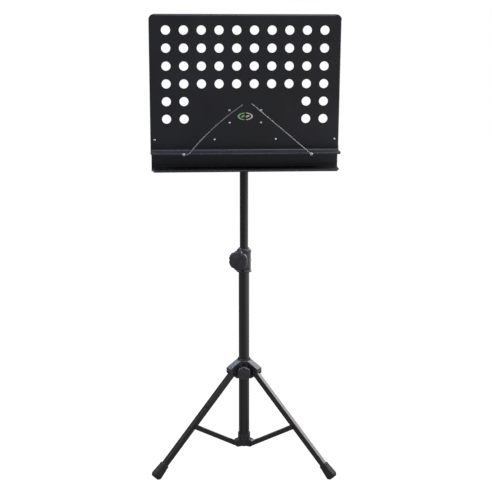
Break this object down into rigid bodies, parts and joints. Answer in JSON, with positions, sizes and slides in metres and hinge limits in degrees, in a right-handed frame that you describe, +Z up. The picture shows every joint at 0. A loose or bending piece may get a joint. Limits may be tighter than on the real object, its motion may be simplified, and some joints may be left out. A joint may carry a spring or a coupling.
{
  "type": "music stand",
  "caption": "Upright folding music stand: wide perforated sheet-metal desk with two shelves and wire page holders, on a height-adjustable tubular post with a folding tripod base.",
  "frame": {"origin": "point on the floor straight below the axis of the post, where the tripod stands", "axes": "+Z up along the post, the player stands on the -Y side facing +Y, +X to the player's right along the desk"},
  "size_m": [0.5002, 0.445, 1.2111],
  "materials": {
    "post_paint": "semi-gloss black powder coat on tube",
    "desk_paint": "fine-textured semi-gloss black powder coat on sheet",
    "crown_plastic": "moulded black plastic, semi-gloss",
    "knob_plastic": "moulded black plastic",
    "nylon": "natural nylon",
    "steel": "zinc-plated steel",
    "black_steel": "blackened steel",
    "wire": "bright plated wire",
    "boot_rubber": "moulded black rubber",
    "badge_enamel": "green enamel with a pale symbol"
  },
  "bodies": {
    "post": {"lower_tube": "post_paint", "hub": "crown_plastic", "hub_screws": "black_steel", "strut_hub_pins": "black_steel", "clutch_collar": "crown_plastic", "clutch_bush": "nylon", "clutch_shoe": "steel"},
    "crown_body": {"crown": "crown_plastic", "crown_shoe": "steel", "leg_pins": "black_steel"},
    "crown_knob_body": {"crown_knob": "knob_plastic", "crown_stud": "steel"},
    "clutch_knob_body": {"clutch_knob": "knob_plastic", "clutch_stud": "steel"},
    "mast_slider": {"glide_bush": "nylon"},
    "mast": {"upper_tube": "post_paint", "mast_end_plug": "knob_plastic", "tilt_head": "crown_plastic", "head_screw": "black_steel", "tilt_washers": "nylon"},
    "desk": {"desk_plate": "desk_paint", "accessory_shelf": "desk_paint", "shelf_rivets": "steel", "tilt_bracket": "desk_paint", "bracket_rivets": "steel", "tilt_bolt": "steel", "holder_rivets": "steel", "badge": "badge_enamel"},
    "tilt_knob_body": {"tilt_knob": "knob_plastic"},
    "holder_left_body": {"page_holder_left": "wire"},
    "holder_right_body": {"page_holder_right": "wire"},
    "leg_body_rear": {"leg_rear": "post_paint", "leg_bush_rear": "black_steel", "foot_rear": "boot_rubber"},
    "strut_body_rear": {"strut_rear": "post_paint", "strut_rivets_rear": "black_steel"},
    "leg_body_front_left": {"leg_front_left": "post_paint", "leg_bush_front_left": "black_steel", "foot_front_left": "boot_rubber"},
    "strut_body_front_left": {"strut_front_left": "post_paint", "strut_rivets_front_left": "black_steel"},
    "leg_body_front_right": {"leg_front_right": "post_paint", "leg_bush_front_right": "black_steel", "foot_front_right": "boot_rubber"},
    "strut_body_front_right": {"strut_front_right": "post_paint", "strut_rivets_front_right": "black_steel"}
  },
  "joints": [
    {"name": "crown_slide", "type": "slide", "parent": "post", "child": "crown_body", "axis": [0, 0, 1], "range_m": [0, 0.117]},
    {"name": "crown_knob_turn", "type": "hinge", "parent": "crown_body", "child": "crown_knob_body", "pos_m": [0, 0, 0.261], "axis": [-0.075, -0.9972, 0], "range_deg": [0, 720]},
    {"name": "clutch_knob_turn", "type": "hinge", "parent": "post", "child": "clutch_knob_body", "pos_m": [0, 0, 0.571], "axis": [-0.4695, -0.8829, 0], "range_deg": [0, 720]},
    {"name": "mast_height", "type": "slide", "parent": "post", "child": "mast_slider", "axis": [0, 0, 1], "range_m": [-0.2, 0.13]},
    {"name": "mast_turn", "type": "hinge", "parent": "mast_slider", "child": "mast", "pos_m": [0, 0, 0.4], "axis": [0, 0, 1], "continuous": true},
    {"name": "desk_tilt", "type": "hinge", "parent": "mast", "child": "desk", "pos_m": [0, 0, 0.9552], "axis": [-1, 0, 0], "range_deg": [-6, 92]},
    {"name": "tilt_knob_turn", "type": "hinge", "parent": "desk", "child": "tilt_knob_body", "pos_m": [0, 0, 0.9552], "axis": [1, 0, 0], "range_deg": [0, 720]},
    {"name": "holder_left_swing", "type": "hinge", "parent": "desk", "child": "holder_left_body", "pos_m": [-0.16, -0.08438, 0.85878], "axis": [0, -0.9976, -0.0698], "range_deg": [-40, 130]},
    {"name": "holder_right_swing", "type": "hinge", "parent": "desk", "child": "holder_right_body", "pos_m": [0.167, -0.08817, 0.85851], "axis": [0, 0.9976, 0.0698], "range_deg": [-40, 130]},
    {"name": "leg_fold_rear", "type": "hinge", "parent": "crown_body", "child": "leg_body_rear", "pos_m": [0.0027, 0.0359, 0.2564], "axis": [-0.9972, 0.075, 0], "range_deg": [0, 35.9]},
    {"name": "strut_fold_rear", "type": "hinge", "parent": "post", "child": "strut_body_rear", "pos_m": [0.00165, 0.02194, 0.051], "axis": [0.9972, -0.075, 0], "range_deg": [0, 48.7]},
    {"name": "leg_fold_front_left", "type": "hinge", "parent": "crown_body", "child": "leg_body_front_left", "pos_m": [-0.03244, -0.01561, 0.2564], "axis": [0.4337, -0.9011, 0], "range_deg": [0, 35.9]},
    {"name": "strut_fold_front_left", "type": "hinge", "parent": "post", "child": "strut_body_front_left", "pos_m": [-0.01982, -0.00954, 0.051], "axis": [-0.4337, 0.9011, 0], "range_deg": [0, 48.7]},
    {"name": "leg_fold_front_right", "type": "hinge", "parent": "crown_body", "child": "leg_body_front_right", "pos_m": [0.02974, -0.02029, 0.2564], "axis": [0.5635, 0.8261, 0], "range_deg": [0, 35.9]},
    {"name": "strut_fold_front_right", "type": "hinge", "parent": "post", "child": "strut_body_front_right", "pos_m": [0.01817, -0.0124, 0.051], "axis": [-0.5635, -0.8261, 0], "range_deg": [0, 48.7]}
  ],
  "couplings": [
    {"joint": "leg_fold_rear", "follows": "crown_slide", "rad_per_m": 5.3358},
    {"joint": "strut_fold_rear", "follows": "crown_slide", "rad_per_m": 7.2381},
    {"joint": "leg_fold_front_left", "follows": "crown_slide", "rad_per_m": 5.3358},
    {"joint": "strut_fold_front_left", "follows": "crown_slide", "rad_per_m": 7.2381},
    {"joint": "leg_fold_front_right", "follows": "crown_slide", "rad_per_m": 5.3358},
    {"joint": "strut_fold_front_right", "follows": "crown_slide", "rad_per_m": 7.2381}
  ]
}
